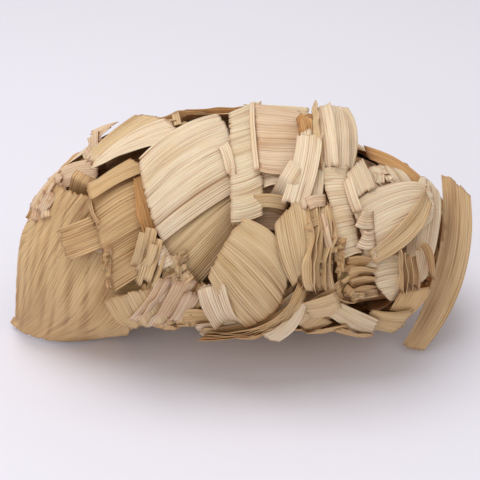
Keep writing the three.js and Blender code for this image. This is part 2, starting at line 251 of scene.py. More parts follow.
def torn(rng, across, depth, tatter):
    """How far, in millimetres, a torn end stands back at each place across the fibres: tatters of
    random width, each torn at its own length, with fine teeth."""
    ends = np.cumsum(rng.uniform(0.3, 1.7, 600)) * tatter
    lengths = rng.uniform(0, 1, 601) ** 2
    teeth = rng.uniform(0, 1, len(across))
    return depth * (0.8 * lengths[np.searchsorted(ends, across - across.min())] + 0.25 * teeth)


leaves = []  # every piece made so far


def make_mesh(name, sheets, material):
    """One object from sheets, each a dict of a grid of points in millimetres, its fibre
    coordinates, its groove and edge values and a mask of the facets that are left in. Each
    facet joins four neighbours of the grid, and the sheet is thickened evenly to both sides."""
    points, faces, fibres, grooves, edges, start = [], [], [], [], [], 0
    for sheet in sheets:
        rows, columns = sheet["points"].shape[:2]
        index = start + np.arange(rows * columns).reshape(rows, columns)
        quads = np.stack([index[:-1, :-1], index[1:, :-1], index[1:, 1:], index[:-1, 1:]], axis=-1)
        faces.append(quads[sheet["kept"]])
        points.append(sheet["points"].reshape(-1, 3))
        fibres.append(sheet["fibres"].reshape(-1, 2))
        grooves.append(sheet["groove"].ravel())
        edges.append(sheet["edge"].ravel())
        start += rows * columns
    points, faces = np.concatenate(points) * MM, np.concatenate(faces)
    fibres, grooves, edges = map(np.concatenate, (fibres, grooves, edges))
    used, faces = np.unique(faces, return_inverse=True)
    faces = faces.reshape(-1, 4)
    mesh = bpy.data.meshes.new(name)
    mesh.vertices.add(len(used))
    mesh.vertices.foreach_set("co", points[used].ravel())
    mesh.loops.add(faces.size)
    mesh.loops.foreach_set("vertex_index", faces.ravel())
    mesh.polygons.add(len(faces))
    mesh.polygons.foreach_set("loop_start", np.arange(0, faces.size, 4))
    mesh.polygons.foreach_set("loop_total", np.full(len(faces), 4))
    mesh.polygons.foreach_set("use_smooth", np.ones(len(faces), bool))
    mesh.update(calc_edges=True)
    mesh.uv_layers.new(name="fibres").data.foreach_set("uv", fibres[used][faces.ravel()].ravel())
    for label, values in (("groove", grooves), ("edge", edges)):
        layer = mesh.attributes.new(label, "FLOAT", "POINT")
        layer.data.foreach_set("value", values[used].astype(np.float32))
    mesh.materials.append(material)
    piece = bpy.data.objects.new(name, mesh)
    bpy.context.scene.collection.objects.link(piece)
    solid = piece.modifiers.new("leaf thickness", "SOLIDIFY")
    solid.thickness = LEAF * MM
    solid.offset = 0
    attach(piece, "root")
    leaves.append(piece)
    return piece


def linear(code):
    """An sRGB hex colour as the linear colour that a node takes: a straight line for the
    darkest values and a power of 2.4 for the rest."""
    parts = np.array([int(code[i:i + 2], 16) for i in (1, 3, 5)]) / 255
    parts = np.where(parts <= 0.04045, parts / 12.92, ((parts + 0.055) / 1.055) ** 2.4)
    return (*parts, 1.0)


def add_node(tree, kind, inputs=None, **settings):
    """Adds one node. An input is a value, or the output of another node that is linked to it."""
    item = tree.nodes.new(kind)
    for name, value in settings.items():
        setattr(item, name, value)
    for name, value in (inputs or {}).items():
        if isinstance(value, bpy.types.NodeSocket):
            tree.links.new(value, item.inputs[name])
        else:
            item.inputs[name].default_value = value
    return item


# Dried corn leaf, left as it grew: matt, slightly waxy, with pale ribs 1 to 2 mm apart, darker
# grooves between them, deepened with painted shade, and stains where it was damp. The ribs catch
# a dull streak of light, and a little light comes through the thin leaf. Each tone is one age of
# leaf, from fresh cream to brown, as (ribs, grooves, stains, and torn edges, veins and specks,
# also used as the painted shade in grooves and sheltered folds).
TONES = {
    "cream_husk": ("#efdbbf", "#c9a27a", "#dcc097", "#8f5c32"),
    "pale_husk": ("#e9d6b8", "#c6a47a", "#d8bd94", "#8e5c34"),
    "straw_husk": ("#e1c59b", "#a98258", "#c3a170", "#7e4c24"),
    "tan_husk": ("#dcba8a", "#a2774a", "#bb9564", "#7a4822"),
    "olive_husk": ("#d4b687", "#947148", "#ac8c5a", "#6b461e"),
    "pinkish_husk": ("#ead0b2", "#c09670", "#d2aa82", "#8d5934"),
    "brown_husk": ("#d6a66c", "#9c6534", "#b27a46", "#663816"),
}


def husk_material(slot):
    """The fibre coordinates are millimetres along and across the fibres. Each layer of colour is a
    noise stretched along them: its length and width in millimetres, its detail, the two values
    between which it comes in, how strong it gets, and its tone."""
    light, dark, stain, brown_and_shade = map(linear, TONES[slot])
    material = bpy.data.materials.new(slot.replace("_", " ").replace("husk", "dried corn husk"))
    material.use_nodes = True
    tree = material.node_tree
    shader = tree.nodes["Principled BSDF"]
    fibres = add_node(tree, "ShaderNodeUVMap", uv_map="fibres").outputs[0]
    colour, streaks = light, None
    for length, width, detail, low, high, most, tone in (
        (60, 0.7, 2, 0.42, 0.7, 0.6, dark),  # the streaks between the ribs
        (150, 4, 2, 0.48, 0.78, 0.35, dark),  # bands of darker leaf
        (60, 26, 3, 0.5, 0.74, 0.8, stain),  # where the leaf was damp
        (45, 1.3, 1, 0.64, 0.69, 0.45, brown_and_shade),  # single dark veins
        (1.6, 1.1, 0, 0.8, 0.84, 0.5, brown_and_shade),  # specks
    ):
        scale = (1 / length, 1 / width, 1)
        stretch = add_node(tree, "ShaderNodeMapping", {0: fibres, "Scale": scale}).outputs[0]
        spread = {0: stretch, "Scale": 1, "Detail": detail}
        noise = add_node(tree, "ShaderNodeTexNoise", spread).outputs[0]
        ranged = {"Value": noise, 1: low, 2: high, 4: most}
        share = add_node(tree, "ShaderNodeMapRange", ranged).outputs[0]
        mixed = {0: share, 6: colour, 7: tone}
        colour = add_node(tree, "ShaderNodeMix", mixed, data_type="RGBA").outputs[2]
        if streaks is None:
            streaks = noise
    # Grooves are warmer and browner, partly the leaf's own darker lines and partly painted shade in
    # the valleys, creases and fold hollows; torn edges (over 2.5 mm) are browner, and sheltered folds
    # get painted shade in the same brown.
    for name, low, high, start, end in (("groove", 0.1, 0.8, 0, 0.75), ("edge", 0, 2.5, 0.4, 0),
                                        ("painted_shade", 0, 1, 0, 0.55)):
        value = add_node(tree, "ShaderNodeAttribute", attribute_name=name).outputs["Fac"]
        ranged = {"Value": value, 1: low, 2: high, 3: start, 4: end}
        share = add_node(tree, "ShaderNodeMapRange", ranged).outputs[0]
        mixed = {0: share, 6: colour, 7: brown_and_shade}
        colour = add_node(tree, "ShaderNodeMix", mixed, data_type="RGBA").outputs[2]
    tree.links.new(colour, shader.inputs["Base Color"])
    shader.inputs["Roughness"].default_value = 0.62
    shader.inputs["IOR"].default_value = 1.45
    shader.inputs["Specular IOR Level"].default_value = 0.35
    shader.inputs["Subsurface Weight"].default_value = 0.2
    shader.inputs["Subsurface Radius"].default_value = (1.0, 0.5, 0.2)
    shader.inputs["Subsurface Scale"].default_value = 1.5 * MM
    raised = {"Strength": 0.4, "Distance": 0.3 * MM, "Height": streaks}
    grain = add_node(tree, "ShaderNodeBump", raised)
    tree.links.new(grain.outputs[0], shader.inputs["Normal"])
    return material


materials = {slot: husk_material(slot) for slot in TONES}
slot_of = {part["node"]: part["material_slot"] for part in frame["record"]["subparts"]}


def valleys(rng, across, pitch, reach):
    """How deep, from 0 to 1, each place lies in the narrow valleys between ribs. The valleys come
    about a pitch apart, each with a depth of its own, and fall off as a bell curve."""
    count = int((np.ptp(across) / pitch + 10) * 1.7)
    middles = across.min() - 4 * pitch + np.cumsum(rng.uniform(0.6, 1.4, count)) * pitch
    depths = rng.uniform(0.3, 1, count)
    above = np.clip(np.searchsorted(middles, across), 1, count - 1)
    low = depths[above - 1] * np.exp(-(((across - middles[above - 1]) / reach) ** 2))
    high = depths[above] * np.exp(-(((middles[above] - across) / reach) ** 2))
    return np.maximum(low, high)


# How far apart a husk's points lie, along its fibres and across them.
FINE_GRID = (2.0, 0.5)
COARSE_GRID = (2.4, 1.2)
SLANTED_GRID = (1.0, 0.72)
RIB_REACH = 0.42  # how far a valley between two ribs reaches to its sides
CREASE_PITCH = 11
CREASE_REACH = 0.75
GAP_FACTOR = 0.8
# How large the bumps of a leaf's unevenness are, along its fibres and across them.
WARP_SIZE = (28, 24)
DRIFT_SIZE = (50, 30)
FADE_SIZE = (25, 6)
CREASE_SIZE = (40, 9)
FOLD_SIZE = (45, 5)
MOST_DRIFT = 1.4  # how far the ribs wander sideways
LOWEST = LEAF / 2 + 0.02  # the middle of a leaf that lies on the floor


def husk(node, fine=True, ribs=0.48, creases=1.0, folds=0.12, warp=0.6, ends=(2, 2), tatter=3,
         curls=(0, 0, 0, 0), reach=12, splits=0, pleats=None, slant=0, pitch=1.9, free=False):
    """A real husk in place of a plain CAD sheet: the smooth surface through the sheet's corners,
    let down on the husks below, and moved along its normals by folds and a slow warp, less its
    ribs and creases. fine gives it closer points. ends is how deeply its start and end are torn,
    in tatters about tatter wide. curls is how far its start, end, low and high sides turn up, as
    the square of the distance within reach. splits counts the cracks that run in from an end.
    pleats is (width, depth, from, to) across the fibres, slant is how far they run off the
    sheet's length, in degrees, pitch is the distance between ribs, and a free husk stays where
    it is and isn't laid on the pile."""
    rng = np.random.default_rng(sum(map(ord, node)) * 7919 + len(node))
    grid = facet_grid(node)
    grid = grid - normals_of(grid) * CAD_SHEET / 2
    length = np.linalg.norm(np.diff(grid, axis=0), axis=2).sum(axis=0).mean()
    width = np.linalg.norm(np.diff(grid, axis=1), axis=2).sum(axis=1).max()
    along_step, across_step = FINE_GRID if fine else COARSE_GRID
    if slant:
        along_step, across_step = SLANTED_GRID
    u = np.linspace(0, 1, max(int(length / along_step), 12))
    v = np.linspace(0, 1, max(int(width / across_step), 12))
    knots = np.array(grid.shape[:2])
    surface = np.einsum("ia,abk,jb->ijk", spline(knots[0], u * (knots[0] - 1)), grid,
                        spline(knots[1], v * (knots[1] - 1)))
    # The torn ends: each column across the fibres keeps its own stretch of the surface.
    first = torn(rng, v * width, ends[0], tatter) / length
    last = 1 - torn(rng, v * width, ends[1], tatter) / length
    kept_rows = (first + (last - first) * u[:, None]) * (len(u) - 1)
    below = np.clip(np.floor(kept_rows).astype(int), 0, len(u) - 2)
    share = (kept_rows - below)[..., None]
    columns = np.arange(len(v))
    surface = surface[below, columns] * (1 - share) + surface[below + 1, columns] * share
    from_start = kept_rows / (len(u) - 1) * length
    from_end = length - from_start
    from_low = np.broadcast_to(v * width, from_start.shape)
    turned = np.radians(slant)

    def uneven(size):
        """Smooth random heights whose bumps are of a size along and across the fibres."""
        return wander(rng, u, v, length / size[0], width / size[1])

    # The ribs run along the fibres, wander a little sideways and fade in and out. Creases are
    # wider and further apart, and folds are bumps that are long and narrow.
    slow = uneven(WARP_SIZE)
    drift = uneven(DRIFT_SIZE)
    across = from_low * np.cos(turned) + from_start * np.sin(turned) + MOST_DRIFT * drift
    fade = np.clip(0.7 + 0.5 * uneven(FADE_SIZE), 0.15, 1)
    rib = valleys(rng, across, pitch, RIB_REACH) * fade
    crease = valleys(rng, across, CREASE_PITCH, CREASE_REACH)
    crease = crease * np.clip(uneven(CREASE_SIZE), 0, 1)
    fold = uneven(FOLD_SIZE)
    relief = folds * fold * np.abs(fold) * 1.6 + warp * slow - ribs * rib - creases * crease
    if pleats:
        # A zigzag across the fibres, let in and out at the two sides of its stretch.
        size, depth, start, end = pleats
        saw = np.abs((across / size + 0.25 * wander(rng, u, v, 2, 6)) % 1 - 0.5) * 2
        share_of = step(v, start - 0.06, start + 0.06) * (1 - step(v, end - 0.08, end))
        relief = relief + depth * (1 - 2 * np.abs(saw - 0.5) - 0.5) * share_of
    surface = surface + normals_of(surface) * relief[..., None]
    if not free:
        surface = settle(surface)
        raise_pile(surface)
    # The sides that turn up, and then the splits, which narrow to nothing as they run in.
    lift = np.zeros_like(from_start)
    for distance, height in zip((from_start, from_end, from_low, width - from_low), curls):
        lift += height * np.clip(1 - distance / reach, 0, 1) ** 2 * (0.8 + 0.4 * drift)
    surface = surface + normals_of(surface) * lift[..., None]
    surface[..., 2] = np.maximum(surface[..., 2], LOWEST)
    kept = np.ones((len(u) - 1, len(v) - 1), bool)
    for _ in range(splits):
        middle, depth = rng.uniform(0.08, 0.92), rng.uniform(0.12, 0.4)
        gap = rng.uniform(0.7, 1.6) * (1 - u / depth)
        if rng.uniform() < 0.5:
            gap = gap[::-1]
        kept &= ~(np.abs(v[None, :-1] - middle) * width < gap[:-1, None] * GAP_FACTOR)
    # What the material needs: fibre coordinates from a place of the leaf's own in the pattern,
    # how deep each point lies in a groove, crease or fold hollow, darkened in part as painted shade,
    # and how far it is from a torn end.
    fibres = np.stack([from_start * np.cos(turned), across], axis=-1) + rng.uniform(0, 900, 2)
    groove = np.clip(0.75 * rib + crease + 0.3 * np.clip(-fold, 0, 1), 0, 1)
    edge = np.minimum(from_start - first * length, last * length - from_start)
    sheet = dict(points=surface, fibres=fibres, groove=groove, edge=np.maximum(edge, 0), kept=kept)
    slot = slot_of[node]
    piece = make_mesh(node + "_leaf", [sheet], materials[slot])
    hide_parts(node)
    return piece


FINE_STRIP_GRID = (1.6, 0.6)
COARSE_STRIP_GRID = (3.2, 1.4)
STRIP_RIB_PITCH = 1.7
STRIP_RIB_DEPTH = 0.22
STRIP_TATTER = 2.5
STRIP_BLOCK = 9  # a strip bends over about this length
DEEPEST, HIGHEST = -45, 15  # how far under and over the drum a strip is let down on the pile
CRUMPLE = 7  # the length of one crumple


def shred(route, width, tilt=0, cup=0.0, wave=0.5, tooth=2.0, over=0.3, lay=False, fine=True,
          seed=0):
    """A torn strip of husk. route lists the places of its middle line as (along, degrees round,
    height over the husks below); a spline runs through them, and the width is set out to both
    sides of it. It lies at tilt degrees from flat to on edge, or goes from one tilt to another.
    cup hollows it by the square of the distance from its middle, and wave crumples it. tooth is
    how deeply its ends are torn, over is the air under it, lay puts it into the pile for what is
    laid on it later, fine gives it closer points, and seed gives like strips different draws."""
    rng = np.random.default_rng(int(abs(route[0][0] * 131 + route[0][1] * 17 + route[-1][0])) + seed)
    route = np.array(route, float)
    ends = place(*route.T)
    length = np.linalg.norm(np.diff(ends, axis=0), axis=1).sum()
    along_step, across_step = FINE_STRIP_GRID if fine else COARSE_STRIP_GRID
    u = np.linspace(0, 1, max(int(length / along_step), 8))
    v = np.linspace(0, 1, max(int(width / across_step), 6))
    line = spline(len(route), u * (len(route) - 1)) @ route
    # The strip lies on the highest husk under each stretch of it, and bends between stretches.
    under = np.clip(pile_height(line[:, 0], line[:, 1]), DEEPEST, HIGHEST)
    blocks = max(int(length / STRIP_BLOCK), 2)
    peaks = np.maximum.reduceat(under, np.linspace(0, len(u), blocks + 1).astype(int)[:-1])
    under = np.interp(u * (blocks - 1), np.arange(blocks), peaks)
    middle = place(line[:, 0], line[:, 1], under + over + line[:, 2])
    up = place(line[:, 0], line[:, 1], under + over + line[:, 2] + 1) - middle
    # Across the strip is square to its run and tilted from flat; outward is square to both.
    tangent = np.gradient(middle, axis=0)
    tangent /= np.linalg.norm(tangent, axis=1, keepdims=True)
    up -= (up * tangent).sum(axis=1, keepdims=True) * tangent
    up /= np.linalg.norm(up, axis=1, keepdims=True)
    side = np.cross(up, tangent)
    first_tilt, last_tilt = tilt if isinstance(tilt, tuple) else (tilt, tilt)
    tilts = np.radians(np.linspace(first_tilt, last_tilt, len(u)))
    crosswise = np.cos(tilts)[:, None] * side + np.sin(tilts)[:, None] * up
    outward = np.cross(tangent, crosswise)
    across = (v - 0.5) * width
    offset = np.broadcast_to(across, (len(u), len(v)))
    rib = valleys(rng, across + 0 * u[:, None], STRIP_RIB_PITCH, RIB_REACH)
    bend = wander(rng, u, v, length / CRUMPLE, width / CRUMPLE) * wave
    sunk = cup * (4 * (v - 0.5) ** 2) + bend - STRIP_RIB_DEPTH * rib
    points = (middle[:, None] + offset[..., None] * crosswise[:, None]
              + sunk[..., None] * outward[:, None])
    points[..., 2] = np.maximum(points[..., 2], LOWEST)
    if lay:
        raise_pile(points)
    from_start = np.broadcast_to(u[:, None] * length, offset.shape)
    first = torn(rng, v * width, tooth, STRIP_TATTER)
    last = length - torn(rng, v * width, tooth, STRIP_TATTER)
    kept = ((from_start >= first) & (from_start <= last))[:-1, :-1]
    kept[len(u) // 2] = True
    fibres = np.stack([from_start, across + 0 * from_start], axis=-1) + rng.uniform(0, 900, 2)
    edge = np.clip(np.minimum(from_start - first, last - from_start), 0, None)
    # The groove value darkens the rib valleys, partly as painted shade.
    return dict(points=points, fibres=fibres, groove=0.75 * rib, edge=edge, kept=kept)


def join(name, slot, *parts):
    """Torn strips and scraps that lie together, as one piece."""
    return make_mesh(name, parts, materials[slot])


TURN_SPREAD = 28
TILT_SPREAD = 35
MOST_CUP = 1.2


def scattered(seed, count, middle, spread, sizes, turn, rise=3, **look):
    """Torn scraps round a place: sizes is (least length, most length, least width, most width)
    and turn is the mean direction of their fibres, 0 along the bundle and 90 up over it. Each
    is a strip through three places in a line, and the last stands up to rise off the pile."""
    rng = np.random.default_rng(seed)
    made = []
    for number in range(count):
        along, round_ = np.array(middle) + rng.uniform(-1, 1, 2) * spread
        length, width = rng.uniform(*sizes[:2]), rng.uniform(*sizes[2:])
        way = np.radians(turn + rng.uniform(-TURN_SPREAD, TURN_SPREAD))
        half = length / 2 * np.array([np.cos(way), np.sin(way) / MM_PER_DEGREE])
        lifts = rng.uniform(0, rise, 3) * (0.2, 0.6, 1.0)
        places = [(along + half[0] * t, round_ + half[1] * t, h) for t, h in zip((-1, 0, 1), lifts)]
        tilt = rng.uniform(-TILT_SPREAD, TILT_SPREAD), rng.uniform(-TILT_SPREAD, TILT_SPREAD)
        cup = rng.uniform(-MOST_CUP, MOST_CUP)
        made.append(shred(places, width, tilt, cup=cup, seed=seed + number, **look))
    return made


for name in ("core_roll", "left_roll", "right_roll"):
    husk(name, fine=False, ends=(4, 4), folds=0.9, warp=2, splits=5)

# ---- The layer under the outer husks, and the belly -----------------------------------------
# Older, tougher leaves wrapped round the rolls, and two that the bundle's weight presses flat.
# They are held only by the leaves over them. They show in gaps, so they are cut coarser.
for name in ("under_left_front", "under_middle_front", "under_right_front", "under_left_back",
             "under_right_back", "left_belly_husk", "right_belly_husk"):
    husk(name, fine=False, ends=(5, 5), folds=0.7, warp=1.2, splits=4)

# ---- The back -------------------------------------------------------------------------------
# Five broad leaves lie along the back with their fibres lengthwise, torn off at their ends and
# split where they dried. Loose torn leaves are pressed on to them, low down and near the crest.
for name in ("back_low_left", "back_low_right", "back_left_husk", "back_right_husk",
             "back_middle_husk"):
    husk(name, ends=(3, 3), folds=0.3, warp=1.2, splits=3)
join(
    "back_tatters", "tan_husk",
    *scattered(131, 9, (0, 106), (105, 10), (40, 80, 16, 32), 4, rise=2, wave=1.4, tooth=6),
)
join(
    "back_foot", "straw_husk",
    shred([(-46, 117, 8), (-9, 118, 10), (28, 117, 8)], 36, wave=1.2, tooth=6),
    shred([(-34, 127, 6), (-4, 125, 9), (30, 128, 6)], 28, wave=1.2, tooth=6),
)
join(
    "back_crest_tatters", "straw_husk",
    *scattered(141, 10, (0, 58), (95, 12), (30, 64, 12, 26), 12, rise=1, wave=1.2, tooth=6),
)

# ---- The crumpled leaves in the two open ends -----------------------------------------------
# Leaves crushed lengthways and stuffed into the rolls, which keep the ends open and round.
# They lie in two rings, 40 degrees apart, at two depths under the leaves round them.
FILLING_DEPTHS = (14, 27)
FILLING_TURN = 40
for name, end in (("left_filling", -1), ("right_filling", 1)):
    join(
        name, "tan_husk",
        *[
            shred([(end * 164, turn + 12, -2), (end * 132, turn, 2), (end * 95, turn - 8, 0)], 34,
                  (25, -20), cup=5, wave=2.5, tooth=9, over=-depth, fine=False, seed=turn)
            for depth in FILLING_DEPTHS
            for turn in range(depth, 360 + depth, FILLING_TURN)
        ],
    )

# ---- The top left corner --------------------------------------------------------------------
# Small pointed leaves of the fresh inner husk, curled up at their edges where they dried. They
# are tucked in one under the next, with crumpled and torn bits standing up between them.
husk("left_shoulder", ends=(4, 3))
husk("left_frill", ends=(5, 5))
join(
    "left_crumple", "pinkish_husk",
    shred([(-114, 24, 4), (-112, 10, 7), (-109, -3, 2)], 11, (30, 65), wave=1.5),
    shred([(-119, 14, 2), (-113, 4, 5), (-108, -8, 1)], 9, (60, 20), wave=1.5),
    *scattered(5, 5, (-112, 3), (5, 10), (7, 16, 4, 8), 70, rise=5, wave=1.4),
)
husk("yellow_spear", ends=(1, 3), curls=(0, 0, 1.5, 0))
husk("pale_spear", ends=(1, 3), curls=(0, 0, 2.5, 0))
husk("top_left_scrap", ends=(3, 3))
join(
    "crest_tatters", "straw_husk",
    *scattered(61, 12, (-42, 8), (9, 12), (10, 22, 3, 7), 75, rise=8, wave=0.8),
)

# ---- The apron over the left end ------------------------------------------------------------
# The broadest leaf, a tough outer one, hangs down over the left end to the surface. Its fibres
# run slantwise, and a torn leaf comes out from under the panel and lies over it.
join(
    "apron_top", "tan_husk",
    shred([(-105, -21, 0), (-116, -34, 0), (-130, -52, 0)], 38, wave=0.5, lay=True),
)
husk("left_apron", ends=(3, 4), ribs=0.42, creases=0.6, folds=0.04, warp=0.35, slant=26, pitch=2.8)
join(
    "left_rim", "pinkish_husk",
    *scattered(11, 9, (-147, -24), (6, 13), (9, 20, 4, 9), 65, rise=5, wave=1.0),
)
husk("left_tab", ends=(3, 1), curls=(0, 0, 1.5, 0))
join(
    "tab_leaf", "tan_husk",
    shred([(-131, -56, 1), (-117, -56, 4), (-99, -54, 1)], 24, wave=0.5, tooth=5),
)

# ---- The panel left of the middle -----------------------------------------------------------
# Two brownish outer leaves folded into a flat panel, with a darker leaf under its foot and a
# crumpled, torn edge on its left. A narrow strip on its right has curled nearly shut.
join(
    "panel_foot", "olive_husk",
    shred([(-97, -84, 0), (-82, -85, 0), (-66, -84, 0)], 22, wave=0.8, lay=True),
)
husk("left_panel_low", curls=(0, 1, 0, 1))
husk("left_panel_top", ends=(2, 3), curls=(2, 0, 0, 0))
join(
    "panel_edge", "tan_husk",
    shred([(-108, -39, 1), (-105, -46, 3), (-100, -52, 1)], 5, 60),
    *scattered(21, 8, (-95, -74), (3, 9), (8, 14, 3, 6), 80, wave=1.2),
)
husk("curled_edge", curls=(0, 0, 4, 3), reach=5)

# ---- The two broad leaves left of the crest -------------------------------------------------
# A fan of pleated leaf, gathered at its top, lies under the largest clean inner leaf. Beside
# them the husk has split along its fibres into strips that hang down.
husk("fan_husk", ends=(4, 2), pleats=(6, 0.9, 0.0, 0.6))
husk("centre_husk", ends=(2, 2), folds=0.06, warp=0.4)
join(
    "centre_lip", "cream_husk",
    shred([(-13, -13, 1), (-9, -20, 3), (-5, -31, 1)], 8, (10, 35), cup=1.5, tooth=4),
)
join(
    "torn_strips", "straw_husk",
    shred([(-62, -55, 1), (-66, -67, 3), (-72, -79, 1)], 9, 20, wave=0.8),
    shred([(-57, -60, 2), (-61, -70, 4), (-67, -82, 1)], 7, 35),
    shred([(-68, -57, 1), (-71, -65, 2), (-76, -75, 0)], 7, -15),
    shred([(-65, -66, 3), (-69, -75, 4), (-74, -85, 1)], 6, 40),
    shred([(-60, -62, 4), (-64, -70, 6), (-69, -76, 2)], 6, 10),
    shred([(-54, -66, 3), (-58, -76, 4), (-64, -86, 1)], 6, 50),
)

# ---- The crumpled leaves at the lower left --------------------------------------------------
# A short band and a low apron of leaf, crushed into folds where they are pinched between the
# panel and the surface, with torn scraps and crumbs caught in the folds.
join(
    "panel_scraps", "tan_husk",
    *scattered(41, 7, (-68, -86), (7, 3), (8, 14, 4, 8), 70, wave=1.2),
)
husk("low_apron", ends=(4, 4))
join(
    "apron_folds", "pinkish_husk",
    shred([(-76, -109, 0), (-63, -96, 1), (-48, -79, 3)], 17, 12, wave=0.9, tooth=5),
    shred([(-64, -113, 0), (-52, -99, 2), (-38, -80, 3)], 16, 18, wave=0.9, tooth=5),
    shred([(-52, -113, 0), (-44, -103, 1), (-33, -88, 2)], 13, 20, wave=0.9, tooth=4),
    shred([(-72, -103, 1), (-60, -91, 4), (-50, -80, 4)], 8, 45, wave=0.9),
)
husk("low_band", ends=(2, 3), curls=(1, 1, 2, 0))
join(
    "square_scrap", "cream_husk",
    shred([(-61, -71, 4), (-56, -70, 5), (-50, -68, 4)], 15, wave=0.6),
)
join(
    "crumpled_scraps", "straw_husk",
    *scattered(31, 12, (-47, -75), (7, 8), (8, 17, 4, 8), 62, rise=4, wave=1.4),
)
join(
    "low_crumbs", "tan_husk",
    *scattered(51, 12, (-40, -109), (14, 4), (6, 14, 3, 7), 20, wave=1.0),
    shred([(-44, -106, 0), (-32, -105, 1), (-20, -107, 0)], 18, wave=0.8),
)

# ---- The crest ------------------------------------------------------------------------------
# Clean, pale inner leaves laid over the top with their fibres along the bundle, cut square at
# the base as they came off the cob. Ridged leaves in their shade show under their lower edge.
husk("crown_back")
join(
    "crown_under", "cream_husk",
    shred([(4, -36, 9), (18, -35, 12), (34, -34, 9)], 28, wave=0.5, lay=True),
    shred([(6, -54, 8), (20, -53, 11), (33, -53, 8)], 14, wave=0.5),
    shred([(13, -33, 6), (25, -31, 9), (39, -32, 6)], 14, wave=0.6),
)
join(
    "crown_ridges", "straw_husk",
    shred([(9, -44, 9), (21, -44, 13), (34, -45, 9)], 10, 20, wave=0.9),
    shred([(11, -49, 8), (22, -48, 12), (34, -50, 8)], 8, 30, wave=0.9),
    *scattered(71, 7, (4, -54), (6, 5), (7, 14, 3, 6), 10, rise=8, wave=1.0),
)
husk("crown_left", folds=0.2, warp=0.4)
husk("crown_front", folds=0.2, warp=0.4, curls=(0.5, 0.5, 0, 1))
join(
    "crown_seam", "cream_husk",
    shred([(10, 28, 0), (9, -2, 1), (12, -30, 1)], 4, 12, wave=0.4),
)

# ---- The barrel-shaped husk and the strips that sweep under it ------------------------------
# A stiff, strongly ribbed leaf bulges out over the foot of the bundle like a barrel. Long thin
# leaves sweep round under it, lying on one another with their edges out.
SWEPT_STRIPS = 6
husk("barrel_tuck")
husk("base_wrap_upper")
join(
    "curled_fragment", "cream_husk",
    shred([(-21, -83, 2), (-15, -96, 5), (-8, -108, 1)], 20, cup=4, wave=0.8),
)
husk("base_wrap_middle")
husk("base_wrap_lower")
join(
    "base_strips", "tan_husk",
    *[
        shred([(-33 + 2 * k, -120 + 1.5 * k, 1), (0, -117 + 1.8 * k, 1 + k), (21, -112 + 2 * k, 1 + k),
               (37, -102 + 2.2 * k, 1 + k), (48, -90 + 2 * k, 1)], 9, 50 - 4 * k, wave=0.7, tooth=4)
        for k in range(SWEPT_STRIPS)
    ],
)
husk("barrel_husk", ribs=0.6, folds=0.05, warp=0.3, pitch=2.3)

# ---- The neck and the stack right of the middle ---------------------------------------------
# Narrow leaves gathered at the neck, brown and frayed at the top where the stalk was broken
# off. Below it leaves stand edge outwards in a stack, like the folds of an accordion.
husk("neck_shade")
join(
    "neck_tatters", "brown_husk",
    *[
        shred([(45 + 2 * k, 8 - 3 * k, 0), (47 + 2 * k, -3, 2), (48 + k, -16 - k, 1)], 5,
              40 - 20 * k, wave=1.2, tooth=5)
        for k in range(4)
    ],
)
husk("stack_olive")
husk("stack_low")
join(
    "stack_backing", "tan_husk",
    shred([(52, -52, 0), (54, -68, 0), (54, -88, 0)], 24, wave=1.2, lay=True),
    shred([(84, -66, 0), (84, -78, 0), (80, -92, 0)], 34, wave=1.2, lay=True),
)
husk("neck_husk")
join(
    "neck_strips", "cream_husk",
    shred([(51, -12, 1), (47, -29, 3), (38, -47, 1)], 19, 12, wave=0.7, tooth=4),
    shred([(56, -18, 1), (54, -34, 3), (50, -51, 1)], 13, -12, wave=0.7),
    shred([(44, -27, 2), (35, -36, 3), (26, -44, 1)], 15, wave=0.6),
)
husk("slant_husk", ribs=0.5, folds=0.06)
husk("olive_shade")
# The places along the bundle of the leaves that stand on edge, and how they tip over.
STANDING_LEAVES = ((48, (75, 20)), (51, (30, 70)), (54, (60, 5)), (59, (15, 55)), (63, (70, 30)))
join(
    "edge_strips", "straw_husk",
    *[
        shred([(x, -47 + k, 1), (x + 2, -60, 4), (x - 1, -73, 3), (x + 3, -86, 1)], 7, tilt,
              wave=2.2, tooth=5)
        for k, (x, tilt) in enumerate(STANDING_LEAVES)
    ],
    *scattered(121, 12, (55, -68), (7, 16), (6, 13, 3, 7), 10, rise=6, wave=1.4),
)
join(
    "stack_top", "pinkish_husk",
    shred([(46, -47, 4), (53, -45, 6), (61, -44, 3)], 9, wave=0.6),
    shred([(55, -49, 4), (57, -54, 5), (59, -60, 3)], 10, 10),
    shred([(59, -55, 4), (61, -60, 6), (64, -66, 3)], 6, 30),
)

# ---- The tall and the banded husk -----------------------------------------------------------
# A pale leaf folded lengthways stands up over the crest, and a ribbed band of leaf runs down
# from it. Crushed leaves are packed into folds beside the band's foot.
husk("tall_husk", pleats=(9, 0.4, 0, 1), curls=(2, 0, 0, 0))
join("tall_edge", "straw_husk", shred([(56, 14, 1), (56, -8, 3), (57, -30, 1)], 7, 55, wave=1.0))
join(
    "tall_folds", "cream_husk",
    shred([(64, 16, 0), (64, -6, 3), (66, -29, 1)], 11, 24, wave=0.7, tooth=4),
    shred([(74, 14, 0), (75, -6, 3), (73, -28, 1)], 12, -20, wave=0.7, tooth=4),
)
husk("banded_husk", curls=(0, 0, 2, 2), reach=5)
join(
    "stack_crumbs", "tan_husk",
    *scattered(91, 12, (68, -70), (4, 8), (6, 13, 3, 6), 80, rise=5, wave=1.5),
)
join(
    "fold_strips", "tan_husk",
    *[
        shred([(75 + k, turn - 2, 3), (86, turn, 6), (98, turn - 3, 3)], 11, 12 + 8 * k,
              wave=1.8, tooth=5)
        for k, turn in enumerate((-70, -75, -80, -85))
    ],
    *scattered(111, 10, (84, -80), (9, 8), (8, 18, 4, 9), 60, rise=8, wave=1.5),
)
